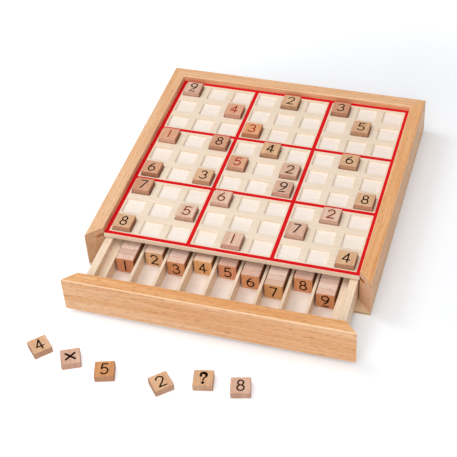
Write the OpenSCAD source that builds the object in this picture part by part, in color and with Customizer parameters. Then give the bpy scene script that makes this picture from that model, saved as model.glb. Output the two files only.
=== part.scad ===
// Wooden sudoku board: a mitred frame round a pocketed playing board, with a tile drawer below it
// Millimetres. Origin at the middle of the base panel's underside, +X right, +Y to the back, +Z up.

/* [Playing board] */
// Width of one square pocket
pocket_w = 17; // [14:0.5:22]
// Depth of a pocket
pocket_d = 2; // [1:0.1:3]
// Corner radius of a pocket
pocket_r = 1; // [0.5:0.1:3]
// Width of the land between two pockets
land_w = 6.6; // [5:0.1:10]
// Thickness of the board
board_t = 4.5; // [4:0.1:8]
// Width of a painted line
line_w = 3.3; // [1:0.1:4]
// Thickness of the paint
paint_t = 0.12; // [0.1:0.01:0.3]
// Bare board between the outer lines and the rails
rail_margin = 0.15; // [0.1:0.05:5]
// Bare board between the front line and the board's free edge
front_margin = 0.45; // [0.2:0.05:5]
// How far the tongues in the side grooves stop short of the free edge
tongue_setback = 6; // [2:0.5:12]

/* [Frame] */
// Width of a rail, seen from above
rail_w = 12; // [9:0.5:20]
// Height of the rails above the board
rim_h = 5.5; // [3:0.5:12]
// Depth of the groove that holds the board
groove_d = 5; // [3:0.5:7]
// Radius of the eased top edges
edge_r = 1.2; // [0.5:0.1:2.5]
// Thickness of the base panel
base_t = 3; // [2:0.5:6]
// How far the base panel is set in from the rails
base_inset = 0.4; // [0:0.1:2]
// Brads in the base panel along each rail
brad_count = 4; // [2:1:8]
// Length of a brad
brad_l = 14; // [8:1:24]
// Diameter of a brad's shank
brad_d = 1.4; // [1:0.1:2]
// Diameter of a brad's head
brad_head_d = 2.6; // [2.2:0.1:4]
// Thickness of a brad's head
brad_head_t = 0.6; // [0.4:0.1:1]

/* [Drawer] */
// How far the drawer stands open
drawer_open = 52.5; // [0:0.5:70]
// Thickness of the drawer front, which closes the frame
front_t = 11.4; // [9:0.1:18]
// Thickness of the drawer's sides and back
side_t = 6.4; // [5:0.1:10]
// Thickness of the drawer's floor
floor_t = 3.2; // [2:0.1:5]
// Width of the rebate in a side that takes the floor
rebate_w = 4; // [2:0.5:4.5]
// Depth of the housing in the front that takes a side
housing_d = 2; // [1:0.5:5]
// Thickness of a divider
divider_t = 2.4; // [2:0.1:4]
// Height of the dividers and edge strips above the floor
divider_h = 12; // [6:0.5:18]
// Width of the strip along each side
strip_w = 6.7; // [4:0.1:8]
// Free length of a channel that holds a full set of tiles
finger_room = 22.6; // [15:0.1:50]
// Room between a standing tile and the board above it
head_room = 4; // [2:0.1:10]

/* [Tiles] */
// Thickness of a tile
tile_t = 6.2; // [5:0.1:8]
// Radius of a tile's upright corners
tile_r = 0.6; // [0.3:0.1:2]

/* [Clearances] */
// Play of a tile in its pocket, on each side
tile_play = 0.75; // [0.3:0.05:2]
// Gap between two tiles of a stack, and behind it
stack_gap = 0.1; // [0.05:0.05:0.5]
// Gap under the drawer
run_gap = 0.3; // [0.1:0.1:1]
// Gap between the drawer and each rail
slide_gap = 1.2; // [0.3:0.1:2]
// Gap between the drawer's sides and the board above them
top_gap = 0.6; // [0.3:0.1:2]
// Gap between the closed drawer front and the frame
close_gap = 0.3; // [0.1:0.1:1]
// Gap round a piece that is glued into a groove or a housing
glue_gap = 0.1; // [0.05:0.05:0.2]
// Gap round a brad
brad_gap = 0.05; // [0.02:0.01:0.1]

/* [Hidden] */
$fn = 32;
CELLS = 9;
BOX = 3;
DIGITS = 9;

// The grid drives the frame, and the tile drives the heights
cell_pitch = pocket_w + land_w;
grid_half = cell_pitch * CELLS / 2;
tile_w = pocket_w - 2 * tile_play;
inner_half = grid_half + line_w / 2 + rail_margin;
outer_half = inner_half + rail_w;
board_front_y = -(grid_half + line_w / 2 + front_margin);
front_inner_y = board_front_y - close_gap;
front_y = front_inner_y - front_t;
drawer_z = base_t + run_gap;
floor_top = drawer_z + floor_t;
board_z = floor_top + tile_w + head_room;
board_top = board_z + board_t;
rim_top = board_top + rim_h;
rail_h = rim_top - base_t;
rail_mid = outer_half - rail_w / 2;
pocket_z = board_top - pocket_d;

// The drawer, in its closed place
side_top = board_z - top_gap;
side_outer = inner_half - slide_gap;
side_inner = side_outer - side_t;
box_l = DIGITS * (tile_t + stack_gap) + finger_room;
back_y = front_inner_y + box_l;
drawer_end_y = back_y + side_t;
channel_half = side_inner - strip_w;
channel_pitch = (2 * channel_half + divider_t) / DIGITS;

// Tiles that lie on the board, as row from the back and column from the left
BOARD_TILES = [
    [1, 1], [1, 5], [1, 7], [2, 3], [2, 8], [3, 4], [4, 1], [4, 3],
    [4, 5], [4, 8], [5, 4], [5, 6], [6, 1], [6, 3], [6, 6], [6, 9],
    [7, 1], [7, 4], [7, 8], [8, 3], [8, 7], [9, 1], [9, 5], [9, 9]];

// Tiles left in the drawer, from the stack of ones to the stack of nines
STACK_COUNTS = [7, 5, 6, 5, 5, 6, 7, 5, 7];

// Tiles that lie in front: name, place across, distance ahead of the drawer front, turn in degrees
LOOSE_TILES = [
    ["four", -124, 44, 46],
    ["cross", -95.5, 49.5, 25],
    ["five", -65, 55, 17],
    ["two", -19, 56, 42],
    ["query", 11.5, 45, 12],
    ["eight", 41, 45, 14.5]];

function board_tile_name(t) = str("board_tile_r", t[0], "c", t[1]);
function stack_name(digit) = str("tile_stack_", digit);
function loose_name(t) = str("loose_tile_", t[0]);
function divider_name(i) = str("divider_", i);
function cell_x(col) = (col - (CELLS + 1) / 2) * cell_pitch;
function cell_y(row) = ((CELLS + 1) / 2 - row) * cell_pitch;
function channel_x(digit) = (digit - (DIGITS + 1) / 2) * channel_pitch;
function divider_x(i) = (i - DIGITS / 2) * channel_pitch;
function brad_place(i) = (2 * i / (brad_count - 1) - 1) * (inner_half - rail_w);

// A square with round corners, centred
module round_square(w, r) {
    square([w, w - 2 * r], center = true);
    square([w - 2 * r, w], center = true);
    for (x = [-1, 1], y = [-1, 1])
        translate([x, y] * (w / 2 - r))
            circle(r);
}

// Cross-section of a bar that stands on the X axis, with both top edges eased
module eased_section(w, h) {
    square([w, h - edge_r]);
    translate([edge_r, 0])
        square([w - 2 * edge_r, h]);
    for (x = [edge_r, w - edge_r])
        translate([x, h - edge_r])
            circle(edge_r);
}

// A bar of the grooved rail section along Y, with its outer face on X = 0
module rail_bar(l) {
    rotate([90, 0, 0])
        linear_extrude(l, center = true)
            difference() {
                eased_section(rail_w, rail_h);
                translate([rail_w - groove_d, board_z - base_t - glue_gap])
                    square([groove_d + rail_w, board_t + 2 * glue_gap]);
            }
}

// What a mitred rail keeps, seen from above
module mitre_plan(points) {
    translate([0, 0, base_t])
        linear_extrude(rail_h)
            polygon(points);
}

// One brad, head down, with room added all round it
module brad(room) {
    cylinder(h = brad_head_t + room, d = brad_head_d + 2 * room);
    cylinder(h = brad_l + room, d = brad_d + 2 * room);
}

// Every brad, up through the base panel into the three rails
module brads(room) {
    for (i = [0 : brad_count - 1]) {
        for (side = [-1, 1])
            translate([side * rail_mid, brad_place(i), 0])
                brad(room);
        translate([brad_place(i), rail_mid, 0])
            brad(room);
    }
}

// A side rail on the left, mitred at both ends
module side_rail() {
    difference() {
        intersection() {
            translate([-outer_half, (outer_half + front_y) / 2, base_t])
                rail_bar(outer_half - front_y);
            mitre_plan([
                [-outer_half, front_y], [-outer_half, outer_half],
                [-inner_half, inner_half], [-inner_half, front_y + rail_w]]);
        }
        brads(brad_gap);
    }
}

module left_rail() {
    color("burlywood")
        side_rail();
}

module right_rail() {
    color("burlywood")
        mirror([1, 0, 0])
            side_rail();
}

module rear_rail() {
    color("burlywood")
        difference() {
            intersection() {
                translate([0, outer_half, base_t])
                    rotate([0, 0, -90])
                        rail_bar(2 * outer_half);
                mitre_plan([
                    [-outer_half, outer_half], [outer_half, outer_half],
                    [inner_half, inner_half], [-inner_half, inner_half]]);
            }
            brads(brad_gap);
        }
}

module playing_board() {
    reach = inner_half + groove_d - glue_gap;
    color("cornsilk")
        difference() {
            translate([-reach, board_front_y, board_z])
                cube([2 * reach, reach - board_front_y, board_t]);
            translate([0, 0, pocket_z])
                linear_extrude(2 * pocket_d)
                    for (row = [1 : CELLS], col = [1 : CELLS])
                        translate([cell_x(col), cell_y(row)])
                            round_square(pocket_w, pocket_r);
            for (x = [inner_half - glue_gap, glue_gap - inner_half - 2 * groove_d])
                translate([x, board_front_y - tongue_setback, board_z - board_t])
                    cube([2 * groove_d, 2 * tongue_setback, 3 * board_t]);
        }
}

// The painted lines round the grid and between its boxes
module grid_lines() {
    span = 2 * grid_half + line_w;
    color("crimson")
        translate([0, 0, board_top])
            linear_extrude(paint_t)
                for (i = [0 : BOX]) {
                    place = (2 * i / BOX - 1) * grid_half;
                    translate([place, 0])
                        square([line_w, span], center = true);
                    translate([0, place])
                        square([span, line_w], center = true);
                }
}

module base_panel() {
    color("wheat")
        difference() {
            translate([base_inset - outer_half, front_y + base_inset, 0])
                cube([2 * (outer_half - base_inset), outer_half - front_y - 2 * base_inset, base_t]);
            brads(brad_gap);
        }
}

module base_brads() {
    color("silver")
        brads(0);
}

// Places the drawer's pieces as far out as the drawer stands open
module opened() {
    translate([0, -drawer_open, 0])
        children();
}

// The front bar, mitred to close the frame, with a housing for each side
module drawer_front() {
    tip = outer_half - close_gap;
    heel = tip - front_t;
    color("tan")
        opened()
            difference() {
                intersection() {
                    translate([0, front_y, drawer_z])
                        rotate([90, 0, 90])
                            linear_extrude(2 * outer_half, center = true)
                                eased_section(front_t, rim_top - drawer_z);
                    mitre_plan([
                        [-tip, front_y], [tip, front_y],
                        [heel, front_inner_y], [-heel, front_inner_y]]);
                }
                for (x = [-side_outer, side_inner])
                    translate([x - glue_gap, front_inner_y - housing_d - glue_gap, drawer_z - glue_gap])
                        cube([side_t + 2 * glue_gap, 2 * housing_d, side_top - drawer_z + 2 * glue_gap]);
            }
}

// A drawer side on the left, rebated along its lower inner edge for the floor
module drawer_side() {
    side_l = drawer_end_y - front_inner_y + housing_d;
    opened()
        difference() {
            translate([-side_outer, front_inner_y - housing_d, drawer_z])
                cube([side_t, side_l, side_top - drawer_z]);
            translate([-side_inner - rebate_w, front_inner_y - 2 * housing_d, drawer_z - floor_t])
                cube([2 * rebate_w, side_l + 2 * housing_d, 2 * floor_t]);
        }
}

module drawer_left_side() {
    color("bisque")
        drawer_side();
}

module drawer_right_side() {
    color("bisque")
        mirror([1, 0, 0])
            drawer_side();
}

module drawer_back() {
    color("bisque")
        opened()
            translate([-side_inner, back_y, floor_top])
                cube([2 * side_inner, side_t, side_top - floor_top]);
}

module drawer_floor() {
    reach = side_inner + rebate_w - glue_gap;
    color("blanchedalmond")
        opened()
            translate([-reach, front_inner_y, drawer_z])
                cube([2 * reach, drawer_end_y - front_inner_y, floor_t]);
}

// One strip along a channel, from the front to the back of the drawer
module channel_strip(x, w) {
    opened()
        translate([x, front_inner_y, floor_top])
            cube([w, box_l, divider_h]);
}

module edge_strips() {
    color("bisque")
        for (x = [-side_inner, channel_half])
            channel_strip(x, strip_w);
}

module divider(i) {
    color("bisque")
        channel_strip(divider_x(i) - divider_t / 2, divider_t);
}

// One number tile, lying flat with its middle over the origin
module tile() {
    linear_extrude(tile_t)
        round_square(tile_w, tile_r);
}

module board_tile(t) {
    color("peachpuff")
        translate([cell_x(t[1]), cell_y(t[0]), pocket_z])
            tile();
}

// Tiles of one number on edge in their channel, faces to the front and against the drawer's back
module tile_stack(digit) {
    color("peachpuff")
        opened()
            for (i = [0 : STACK_COUNTS[digit - 1] - 1])
                translate([channel_x(digit), back_y - stack_gap - i * (tile_t + stack_gap), floor_top + tile_w / 2])
                    rotate([90, 0, 0])
                        tile();
}

module loose_tile(t) {
    color("peachpuff")
        translate([t[1], front_y - drawer_open - t[2], 0])
            rotate(t[3])
                tile();
}

left_rail();
right_rail();
rear_rail();
playing_board();
grid_lines();
base_panel();
base_brads();
drawer_front();
drawer_left_side();
drawer_right_side();
drawer_back();
drawer_floor();
edge_strips();
for (i = [1 : DIGITS - 1]) divider(i);
for (digit = [1 : DIGITS]) tile_stack(digit);
for (t = BOARD_TILES) board_tile(t);
for (t = LOOSE_TILES) loose_tile(t);
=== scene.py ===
"""Wooden sudoku board with a tile drawer: finishes, printed tiles and studio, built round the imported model.

The rails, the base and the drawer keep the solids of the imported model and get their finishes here. The
playing board is made again with eased pocket rims, and every tile with eased edges and its printed mark.
Each tile is made lying down in a frame of its own, marked face up and the mark upright along +Y, and then
put on its node.
"""

import logging
import math
from dataclasses import dataclass, field, replace
from enum import Enum

import bmesh
import bpy
from mathutils import Matrix, Vector

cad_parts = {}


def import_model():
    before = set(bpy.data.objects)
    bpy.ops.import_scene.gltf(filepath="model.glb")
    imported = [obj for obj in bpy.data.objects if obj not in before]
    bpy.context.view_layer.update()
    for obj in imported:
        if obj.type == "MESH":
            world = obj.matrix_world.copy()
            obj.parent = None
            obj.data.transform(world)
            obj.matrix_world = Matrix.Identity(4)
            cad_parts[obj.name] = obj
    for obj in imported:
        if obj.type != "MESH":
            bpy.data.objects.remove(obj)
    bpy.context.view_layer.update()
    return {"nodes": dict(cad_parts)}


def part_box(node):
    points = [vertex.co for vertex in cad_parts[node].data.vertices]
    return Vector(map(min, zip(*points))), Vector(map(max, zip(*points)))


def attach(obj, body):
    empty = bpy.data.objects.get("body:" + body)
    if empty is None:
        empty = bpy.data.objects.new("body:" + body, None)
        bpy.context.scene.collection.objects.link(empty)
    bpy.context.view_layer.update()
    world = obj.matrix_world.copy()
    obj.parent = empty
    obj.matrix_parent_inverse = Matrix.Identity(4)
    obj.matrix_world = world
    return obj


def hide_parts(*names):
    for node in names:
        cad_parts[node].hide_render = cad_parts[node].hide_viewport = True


MM = 0.001
LOG = logging.getLogger("sudoku_board")

Colour = tuple[float, float, float, float]
Ring = list[Vector]

WHITE = (1.0, 1.0, 1.0, 1.0)
GREY = (0.5, 0.5, 0.5, 1.0)


def colour(code: str) -> Colour:
    """Turns a colour as seen on screen into the linear one that shaders take.

    Args:
        code: Six hex digits.

    Returns:
        Linear red, green and blue, with full alpha.
    """
    channels = [int(code[i:i + 2], 16) / 255 for i in (0, 2, 4)]
    linear = [c / 12.92 if c <= 0.04045 else ((c + 0.055) / 1.055) ** 2.4 for c in channels]
    return (*linear, 1.0)


def put(name: str, data: bpy.types.ID) -> bpy.types.Object:
    """Puts a new object at the scene's origin.

    Args:
        name: The object's name.
        data: Its data.

    Returns:
        The object.
    """
    thing = bpy.data.objects.new(name, data)
    bpy.context.scene.collection.objects.link(thing)
    return thing


class Grain(Enum):
    """The axis that a piece's grain runs along, with the turn that brings it to the grain texture's X."""

    X = (0.0, 0.0, 0.0)
    Y = (0.0, 0.0, -math.pi / 2)
    Z = (0.0, math.pi / 2, 0.0)


class TileTone(Enum):
    """The shades that the tiles come in."""

    PALE = "F3D2BF"
    BLUSH = "E8C3AE"
    TAN = "E8BF98"
    ROSE = "EEB897"
    RUSSET = "DFA987"
    HONEY = "F5CA9E"
    AMBER = "FAC588"
    COPPER = "F1AF7E"
    CHESTNUT = "E9A47A"
    GINGER = "DC9F64"


class EndTone(Enum):
    """The shades of the tiles' end grain: the paler ones, for the drawer where the end faces look up, are
    painted light, and the darker ones, for tiles that lie open, are painted shade.
    """

    SHELL = "FAE6D8"
    MAUVE = "D2B6AE"
    PETAL = "D4AC9C"
    CLAY = "B6886F"
    UMBER = "986A52"


class Ink(Enum):
    """The colours that the marks are printed in."""

    BLACK = "080301"
    SEPIA = "3A2619"
    RED = "A82114"
    RUST = "7E2A1A"


class Glyph(Enum):
    """What a tile can be marked with."""

    ONE = "1"
    TWO = "2"
    THREE = "3"
    FOUR = "4"
    FIVE = "5"
    SIX = "6"
    SEVEN = "7"
    EIGHT = "8"
    NINE = "9"
    CROSS = "cross"
    QUERY = "query"


@dataclass(frozen=True)
class Pattern:
    """Noise of one kind: its repeats per millimetre along X, Y and Z, its octaves and its bend."""

    scale: tuple[float, float, float]
    detail: float = 2.0
    bend: float = 0.0


@dataclass(frozen=True)
class Ramp:
    """A smooth ramp: it goes from its start to its end while a value goes from low to high."""

    low: float
    high: float
    start: float = 0.0
    end: float = 1.0


@dataclass(frozen=True)
class Sheen:
    """How a surface's roughness follows its matt mask, and its grain's depth with the share that shows."""

    rough: Ramp
    depth: float
    strength: float = 0.5


class Graph:
    """A node tree with short calls that add nodes and link them."""

    def __init__(self, tree: bpy.types.NodeTree) -> None:
        """Keeps the tree that the calls work on."""
        self.tree = tree

    def feed(self, socket: bpy.types.NodeSocket, value: object) -> None:
        """Links a socket to another node's output, or sets its value.

        Args:
            socket: The input to feed.
            value: A node, whose first output is taken, an output socket, or a plain value.
        """
        if isinstance(value, bpy.types.Node):
            value = value.outputs[0]
        if isinstance(value, bpy.types.NodeSocket):
            self.tree.links.new(value, socket)
        else:
            socket.default_value = value

    def add(self, kind: str, inputs: dict | None = None, **settings: object) -> bpy.types.Node:
        """Adds a node.

        Args:
            kind: The node's type name.
            inputs: What feeds its inputs, by socket name or index.
            **settings: The node's own properties, which are set first.

        Returns:
            The new node.
        """
        node = self.tree.nodes.new(kind)
        for name, value in settings.items():
            setattr(node, name, value)
        for key, value in (inputs or {}).items():
            self.feed(node.inputs[key], value)
        return node

    def math(self, operation: str, first: object, second: object = 0.0) -> bpy.types.NodeSocket:
        """Adds a sum of two numbers, or one, and returns its output."""
        return self.add("ShaderNodeMath", {0: first, 1: second}, operation=operation).outputs[0]

    def climb(self, value: object, ramp: Ramp) -> bpy.types.NodeSocket:
        """Adds a ramp along a value and returns its output."""
        inputs = {"Value": value, "From Min": ramp.low, "From Max": ramp.high,
                  "To Min": ramp.start, "To Max": ramp.end}
        return self.add("ShaderNodeMapRange", inputs, interpolation_type="SMOOTHSTEP").outputs[0]

    def blend(self, share: object, first: object, second: object,
              mode: str = "MIX") -> bpy.types.NodeSocket:
        """Adds a mix of two colours and returns its output."""
        inputs = {0: share, 6: first, 7: second}
        return self.add("ShaderNodeMix", inputs, data_type="RGBA", blend_type=mode).outputs[2]

    def mingle(self, first: object, second: object, share: float) -> bpy.types.NodeSocket:
        """Returns a number made of a share of the first one and the rest of the second."""
        rest = self.math("MULTIPLY", second, 1 - share)
        return self.math("ADD", self.math("MULTIPLY", first, share), rest)

    def millimetres(self, place: object) -> bpy.types.NodeSocket:
        """Returns coordinates, which are in metres, in millimetres."""
        return self.add("ShaderNodeVectorMath", {0: place, "Scale": 1 / MM}, operation="SCALE").outputs[0]

    def noise(self, place: object, pattern: Pattern) -> bpy.types.NodeSocket:
        """Adds noise.

        Args:
            place: The coordinates, in millimetres.
            pattern: The noise's kind.

        Returns:
            The noise, from 0 to 1.
        """
        stretched = self.add("ShaderNodeVectorMath", {0: place, 1: pattern.scale}, operation="MULTIPLY")
        inputs = {"Vector": stretched, "Scale": 1.0, "Detail": pattern.detail, "Distortion": pattern.bend}
        return self.add("ShaderNodeTexNoise", inputs).outputs[0]


class Effect(Graph):
    """A shader node group that several finishes share."""

    SOCKETS = {float: "NodeSocketFloat", tuple: "NodeSocketColor", Vector: "NodeSocketVector"}

    def __init__(self, name: str, inputs: dict[str, object], outputs: dict[str, type]) -> None:
        """Makes the group with its sockets.

        Args:
            name: The group's name.
            inputs: The inputs' default values by name; their kinds follow from the values.
            outputs: The outputs' kinds by name.
        """
        super().__init__(bpy.data.node_groups.new(name, "ShaderNodeTree"))
        for label, value in inputs.items():
            kind = self.SOCKETS[type(value)]
            socket = self.tree.interface.new_socket(label, in_out="INPUT", socket_type=kind)
            socket.default_value = value
        for label, kind in outputs.items():
            self.tree.interface.new_socket(label, in_out="OUTPUT", socket_type=self.SOCKETS[kind])
        self.source = self.add("NodeGroupInput").outputs
        self.sink = self.add("NodeGroupOutput").inputs


class TimberGrain(Effect):
    """Solid timber along X: broad bands, fine streaks, ray flecks, and end grain of its own colour."""

    BANDS = Pattern((0.005, 0.085, 0.085), 3.0, 0.5)
    STREAKS = Pattern((0.016, 0.60, 0.60), 5.0, 0.2)
    FIBRES = Pattern((0.12, 3.0, 3.0), 2.0)
    FLECKS = Pattern((0.16, 1.4, 1.4), 1.0)
    RINGS = Pattern((0.3, 0.3, 0.5), 2.0, 1.5)
    BAND_SHARE = 0.45
    FIGURE_RAMP = Ramp(0.32, 0.68)
    FIGURE_SHARE = 0.8
    MATT_SHARE = 0.6
    FLECK_RAMP = Ramp(0.59, 0.72)
    PORE_DEPTH = 0.6
    RING_RAMP = Ramp(0.35, 0.65, 0.45, 0.75)

    def __init__(self) -> None:
        """Builds the group."""
        super().__init__("timber_grain",
                         {"Vector": Vector(), "Light": GREY, "Dark": GREY, "Fleck": GREY, "End": GREY,
                          "Contrast": 0.5, "Flecks": 0.5, "End grain": 0.0},
                         {"Color": tuple, "Height": float, "Matt": float})
        place = self.millimetres(self.source["Vector"])
        bands = self.noise(place, self.BANDS)
        streaks = self.noise(place, self.STREAKS)
        fibres = self.noise(place, self.FIBRES)
        rays = self.climb(self.noise(place, self.FLECKS), self.FLECK_RAMP)
        figure = self.climb(self.mingle(bands, streaks, self.BAND_SHARE), self.FIGURE_RAMP)
        figure = self.mingle(figure, fibres, self.FIGURE_SHARE)
        shade = self.math("MULTIPLY", figure, self.source["Contrast"])
        wood = self.blend(shade, self.source["Light"], self.source["Dark"])
        fleck_share = self.math("MULTIPLY", rays, self.source["Flecks"])
        wood = self.blend(fleck_share, wood, self.source["Fleck"])
        rings = self.climb(self.noise(place, self.RINGS), self.RING_RAMP)
        ends = self.math("MULTIPLY", self.source["End grain"], rings)
        self.feed(self.sink["Color"], self.blend(ends, wood, self.source["End"]))
        pores = self.math("MULTIPLY", rays, self.PORE_DEPTH)
        self.feed(self.sink["Height"], self.math("SUBTRACT", fibres, pores))
        self.feed(self.sink["Matt"], self.mingle(figure, fibres, self.MATT_SHARE))


class EasedEdge(Effect):
    """Marks the narrow band along a piece's edges, painted paler: partly sanding wear and partly a painted
    highlight.
    """

    SAMPLES = 6
    TURN_RAMP = Ramp(0.98, 0.72)
    BREAKS = Pattern((0.35, 0.35, 0.35), 3.0)
    BREAK_RAMP = Ramp(0.3, 0.6)

    def __init__(self) -> None:
        """Builds the group."""
        super().__init__("eased_edge", {"Vector": Vector(), "Width": 0.5 * MM}, {"Edge": float})
        rounded = self.add("ShaderNodeBevel", {"Radius": self.source["Width"]}, samples=self.SAMPLES)
        true = self.add("ShaderNodeNewGeometry").outputs["Normal"]
        turn = self.add("ShaderNodeVectorMath", {0: rounded, 1: true}, operation="DOT_PRODUCT")
        band = self.climb(turn.outputs["Value"], self.TURN_RAMP)
        breaks = self.noise(self.millimetres(self.source["Vector"]), self.BREAKS)
        self.feed(self.sink["Edge"], self.math("MULTIPLY", band, self.climb(breaks, self.BREAK_RAMP)))


class PrintFilm(Effect):
    """A thin printed film, which thins here and there and lets the wood's fibres show in its surface."""

    FIBRES = Pattern((0.15, 2.6, 2.6), 3.0)
    PATCHES = Pattern((0.10, 0.10, 0.10), 3.0)
    FIBRE_SHARE = 0.6
    THIN_RAMP = Ramp(0.42, 0.72)

    def __init__(self) -> None:
        """Builds the group."""
        super().__init__("print_film", {"Vector": Vector(), "Full": GREY, "Thin": GREY, "Wear": 0.5},
                         {"Color": tuple, "Height": float, "Matt": float})
        place = self.millimetres(self.source["Vector"])
        fibres = self.noise(place, self.FIBRES)
        thin = self.mingle(fibres, self.noise(place, self.PATCHES), self.FIBRE_SHARE)
        share = self.math("MULTIPLY", self.climb(thin, self.THIN_RAMP), self.source["Wear"])
        self.feed(self.sink["Color"], self.blend(share, self.source["Full"], self.source["Thin"]))
        self.feed(self.sink["Height"], fibres)
        self.feed(self.sink["Matt"], thin)


@dataclass(frozen=True)
class Effects:
    """The shared effects, built once."""

    timber: TimberGrain = field(default_factory=TimberGrain)
    edge: EasedEdge = field(default_factory=EasedEdge)
    film: PrintFilm = field(default_factory=PrintFilm)


class Surface(Graph):
    """A material with one Principled shader, which a finish fills in."""

    AXES = {Grain.X: (1.0, 0.0, 0.0), Grain.Y: (0.0, 1.0, 0.0), Grain.Z: (0.0, 0.0, 1.0)}

    def __init__(self, name: str) -> None:
        """Makes the material.

        Args:
            name: The material's name.
        """
        self.material = bpy.data.materials.new(name)
        self.material.use_nodes = True
        super().__init__(self.material.node_tree)
        self.tree.nodes.clear()
        self.shader = self.add("ShaderNodeBsdfPrincipled")
        self.add("ShaderNodeOutputMaterial", {"Surface": self.shader})
        self.coordinates = self.add("ShaderNodeTexCoord").outputs

    def effect(self, group: Effect, inputs: dict[str, object]) -> bpy.types.NodeOutputs:
        """Places a shared effect in the material.

        Args:
            group: The effect.
            inputs: What feeds its inputs, by name.

        Returns:
            The effect's outputs.
        """
        return self.add("ShaderNodeGroup", inputs, node_tree=group.tree).outputs

    def attribute(self, name: str) -> bpy.types.NodeOutputs:
        """Returns the outputs of a mesh attribute."""
        return self.add("ShaderNodeAttribute", attribute_name=name, attribute_type="GEOMETRY").outputs

    def turned(self, place: object, grain: Grain) -> bpy.types.NodeSocket:
        """Returns coordinates turned so that the grain runs along X."""
        return self.add("ShaderNodeMapping", {"Vector": place, "Rotation": grain.value}).outputs[0]

    def along(self, axis: Grain) -> bpy.types.NodeSocket:
        """Works out how far a surface faces along an axis, either way.

        Args:
            axis: The axis.

        Returns:
            A share, which is 1 where the surface faces straight along the axis.
        """
        facing = {0: self.coordinates["Normal"], 1: self.AXES[axis]}
        dot = self.add("ShaderNodeVectorMath", facing, operation="DOT_PRODUCT")
        return self.math("POWER", self.math("ABSOLUTE", dot.outputs["Value"]), 2.0)

    def height(self) -> bpy.types.NodeSocket:
        """Returns the height over the object's origin, in metres."""
        return self.add("ShaderNodeSeparateXYZ", {0: self.coordinates["Object"]}).outputs["Z"]

    def finish(self, base: object, matt: object, height: object, sheen: Sheen) -> bpy.types.Material:
        """Feeds the shader.

        Args:
            base: The colour.
            matt: The mask that the roughness follows.
            height: The grain's height, from 0 to 1.
            sheen: How rough and how deep that makes the surface.

        Returns:
            The material.
        """
        inputs = self.shader.inputs
        self.feed(inputs["Base Color"], base)
        self.feed(inputs["Roughness"], self.climb(matt, sheen.rough))
        relief = {"Height": height, "Distance": sheen.depth, "Strength": sheen.strength}
        self.feed(inputs["Normal"], self.add("ShaderNodeBump", relief))
        return self.material


@dataclass(frozen=True)
class TimberFinish:
    """Solid wood with its grain along one axis, raw or under lacquer."""

    # From one cut in the plank to the next, in metres along the grain and across it
    CUT_STEP = Vector((0.37, 0.053, 0.029))
    # Gain of the painted highlight on eased edges, where faces lie half way between level and upright
    # The product of two shares that add up to 1 peaks at a quarter, and this brings the peak to 1
    SLOPE_GAIN = 4.0
    COAT_ROUGHNESS = 0.22

    name: str
    light: str
    dark: str
    fleck: str
    # Colour of the pale edge band: sanding wear and a painted highlight
    wear_and_highlight: str
    end: str
    contrast: float
    flecks: float
    edge_width: float
    sheen: Sheen
    lacquer: float
    gloss: float = 0.4
    wear: float = 0.4
    # Tint multiplied onto up-facing faces: painted shade that makes the tops warmer and darker than the sides
    top: str = "FFFFFF"

    def material(self, effects: Effects, grain: Grain, cut: int = 0) -> bpy.types.Material:
        """Builds the finish for pieces whose grain runs one way.

        Args:
            effects: The shared effects.
            grain: The grain's axis.
            cut: Picks the place in the plank that the pieces are cut from.

        Returns:
            The material.
        """
        surface = Surface(f"{self.name}_{grain.name.lower()}_{cut}")
        place = surface.coordinates["Object"]
        plank = surface.add("ShaderNodeMapping", {
            "Vector": surface.turned(place, grain), "Location": cut * self.CUT_STEP})
        wood = surface.effect(effects.timber, {
            "Vector": plank, "Light": colour(self.light), "Dark": colour(self.dark),
            "Fleck": colour(self.fleck), "End": colour(self.end), "Contrast": self.contrast,
            "Flecks": self.flecks, "End grain": surface.along(grain)})
        edge = surface.effect(effects.edge, {"Vector": place, "Width": self.edge_width})["Edge"]
        # Painted shade on the tops: up-facing faces take the top tint
        upward = surface.along(Grain.Z)
        top_shaded = surface.blend(upward, wood["Color"], colour(self.top), "MULTIPLY")
        # Painted highlight: faces half way between level and upright, on the eased edges, go pale, on top of
        # the wear band
        slope_highlight = surface.math("MULTIPLY", upward, surface.math("SUBTRACT", 1.0, upward))
        wear_and_highlight_mask = surface.math("MAXIMUM", edge, surface.math("MULTIPLY", slope_highlight, self.SLOPE_GAIN))
        base = surface.blend(surface.math("MULTIPLY", wear_and_highlight_mask, self.wear), top_shaded, colour(self.wear_and_highlight))
        inputs = surface.shader.inputs
        inputs["Specular IOR Level"].default_value = self.gloss
        inputs["Coat Weight"].default_value = self.lacquer
        inputs["Coat Roughness"].default_value = self.COAT_ROUGHNESS
        return surface.finish(base, wood["Matt"], wood["Height"], self.sheen)


@dataclass(frozen=True)
class PlyFinish:
    """Thin plywood: a grained face, and plies that show as bands on its edges."""

    name: str
    light: str
    dark: str
    core: str
    fleck: str
    contrast: float = 0.7
    flecks: float = 0.25
    core_ramp: Ramp = Ramp(0.21, 0.15)
    sheen: Sheen = Sheen(Ramp(0.2, 0.8, 0.48, 0.66), 0.04 * MM)

    def material(self, effects: Effects, underside: float, thickness: float) -> bpy.types.Material:
        """Builds the finish for one panel.

        Args:
            effects: The shared effects.
            underside: The height of the panel's underside, in metres.
            thickness: The panel's thickness, in metres.

        Returns:
            The material.
        """
        surface = Surface(self.name)
        wood = surface.effect(effects.timber, {
            "Vector": surface.coordinates["Object"], "Light": colour(self.light), "Dark": colour(self.dark),
            "Fleck": colour(self.fleck), "Contrast": self.contrast, "Flecks": self.flecks})
        level = surface.math("DIVIDE", surface.math("SUBTRACT", surface.height(), underside), thickness)
        from_middle = surface.math("ABSOLUTE", surface.math("SUBTRACT", level, 0.5))
        sideways = surface.math("SUBTRACT", 1.0, surface.along(Grain.Z))
        core = surface.math("MULTIPLY", surface.climb(from_middle, self.core_ramp), sideways)
        base = surface.blend(core, wood["Color"], colour(self.core))
        return surface.finish(base, wood["Matt"], wood["Height"], self.sheen)


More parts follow.
